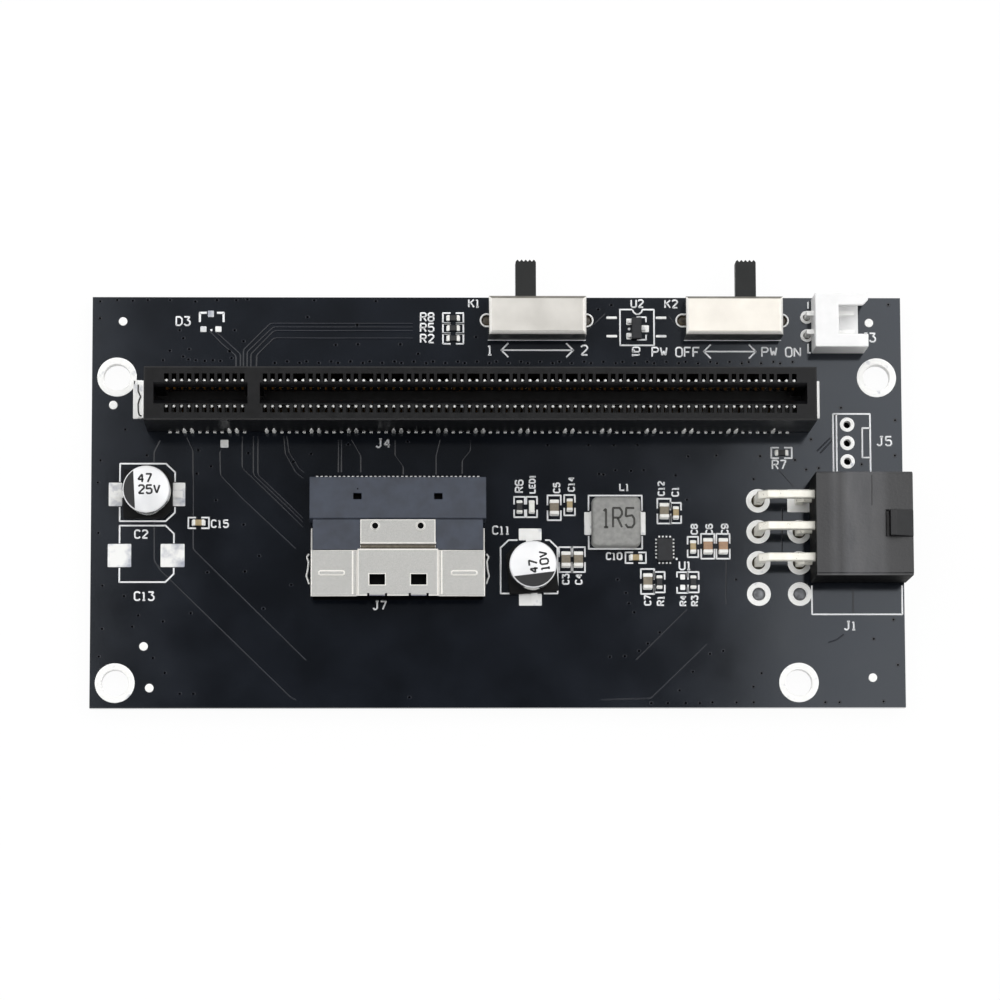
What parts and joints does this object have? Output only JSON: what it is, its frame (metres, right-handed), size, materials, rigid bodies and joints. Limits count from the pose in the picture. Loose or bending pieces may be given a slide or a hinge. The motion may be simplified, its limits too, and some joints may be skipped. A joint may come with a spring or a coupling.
{
  "type": "slot adapter card",
  "caption": "Flat circuit board that turns a cable port into a long card slot, with a side power header, slide switches whose levers reach past the rear edge, and mounting holes.",
  "frame": {"origin": "midway between the two rear mounting holes, on the underside of the board", "axes": "+X along the card slot towards the power header, +Y towards the switches, +Z out of the populated face"},
  "size_m": [0.1092, 0.06, 0.0143],
  "materials": {
    "board_mask": "black solder mask over glass laminate, satin gloss",
    "slot_plastic": "black glass-filled moulding, matt",
    "contact_gold": "gold-plated spring alloy",
    "tin_metal": "bright tin plate",
    "port_plastic": "blue-grey moulding, matt",
    "shell_metal": "folded nickel-plated sheet, satin",
    "power_plastic": "black moulding, slightly mottled",
    "white_plastic": "natural white moulding",
    "switch_metal": "folded tin-plated sheet, satin",
    "switch_plastic": "black moulding",
    "can_aluminium": "drawn can, bright",
    "seat_plastic": "black moulding",
    "inductor_grey": "pressed powder, grey",
    "package_black": "moulded package, black",
    "resistor_black": "black glaze with tinned ends",
    "ceramic_brown": "fired ceramic with tinned ends",
    "lamp_white": "cast resin over tinned ends"
  },
  "bodies": {
    "card": {"aux_housing": "white_plastic", "aux_pins": "tin_metal", "capacitor_1": "ceramic_brown", "capacitor_10": "ceramic_brown", "capacitor_12": "ceramic_brown", "capacitor_14": "ceramic_brown", "capacitor_15": "ceramic_brown", "capacitor_3": "ceramic_brown", "capacitor_4": "ceramic_brown", "capacitor_5": "ceramic_brown", "capacitor_6": "ceramic_brown", "capacitor_7": "ceramic_brown", "capacitor_8": "ceramic_brown", "capacitor_9": "ceramic_brown", "circuit_board": "board_mask", "indicator_lamp": "lamp_white", "inductor_body": "inductor_grey", "inductor_terminals": "tin_metal", "input_capacitor_can": "can_aluminium", "input_capacitor_leads": "tin_metal", "input_capacitor_seat": "seat_plastic", "mode_switch_base": "switch_plastic", "mode_switch_case": "switch_metal", "mode_switch_terminals": "tin_metal", "output_capacitor_can": "can_aluminium", "output_capacitor_leads": "tin_metal", "output_capacitor_seat": "seat_plastic", "port_contacts_lower": "contact_gold", "port_contacts_upper": "contact_gold", "port_front_block": "port_plastic", "port_rear_block": "port_plastic", "port_shell": "shell_metal", "power_housing": "power_plastic", "power_pins_lower": "tin_metal", "power_pins_upper": "tin_metal", "power_switch_base": "switch_plastic", "power_switch_case": "switch_metal", "power_switch_terminals": "tin_metal", "regulator_package": "package_black", "resistor_1": "resistor_black", "resistor_2": "resistor_black", "resistor_3": "resistor_black", "resistor_5": "resistor_black", "resistor_6": "resistor_black", "resistor_7": "resistor_black", "resistor_8": "resistor_black", "slot_clip_left": "tin_metal", "slot_clip_right": "tin_metal", "slot_contacts_front": "contact_gold", "slot_contacts_rear": "contact_gold", "slot_housing": "slot_plastic", "transistor_body": "package_black", "transistor_leads": "tin_metal"},
    "mode_knob": {"mode_switch_knob": "switch_plastic", "mode_switch_wiper": "contact_gold"},
    "power_knob": {"power_switch_knob": "switch_plastic", "power_switch_wiper": "contact_gold"}
  },
  "joints": [
    {"name": "mode_slide", "type": "slide", "parent": "card", "child": "mode_knob", "axis": [1, 0, 0], "range_m": [0, 0.00315]},
    {"name": "power_slide", "type": "slide", "parent": "card", "child": "power_knob", "axis": [1, 0, 0], "range_m": [-0.00315, 0]}
  ]
}
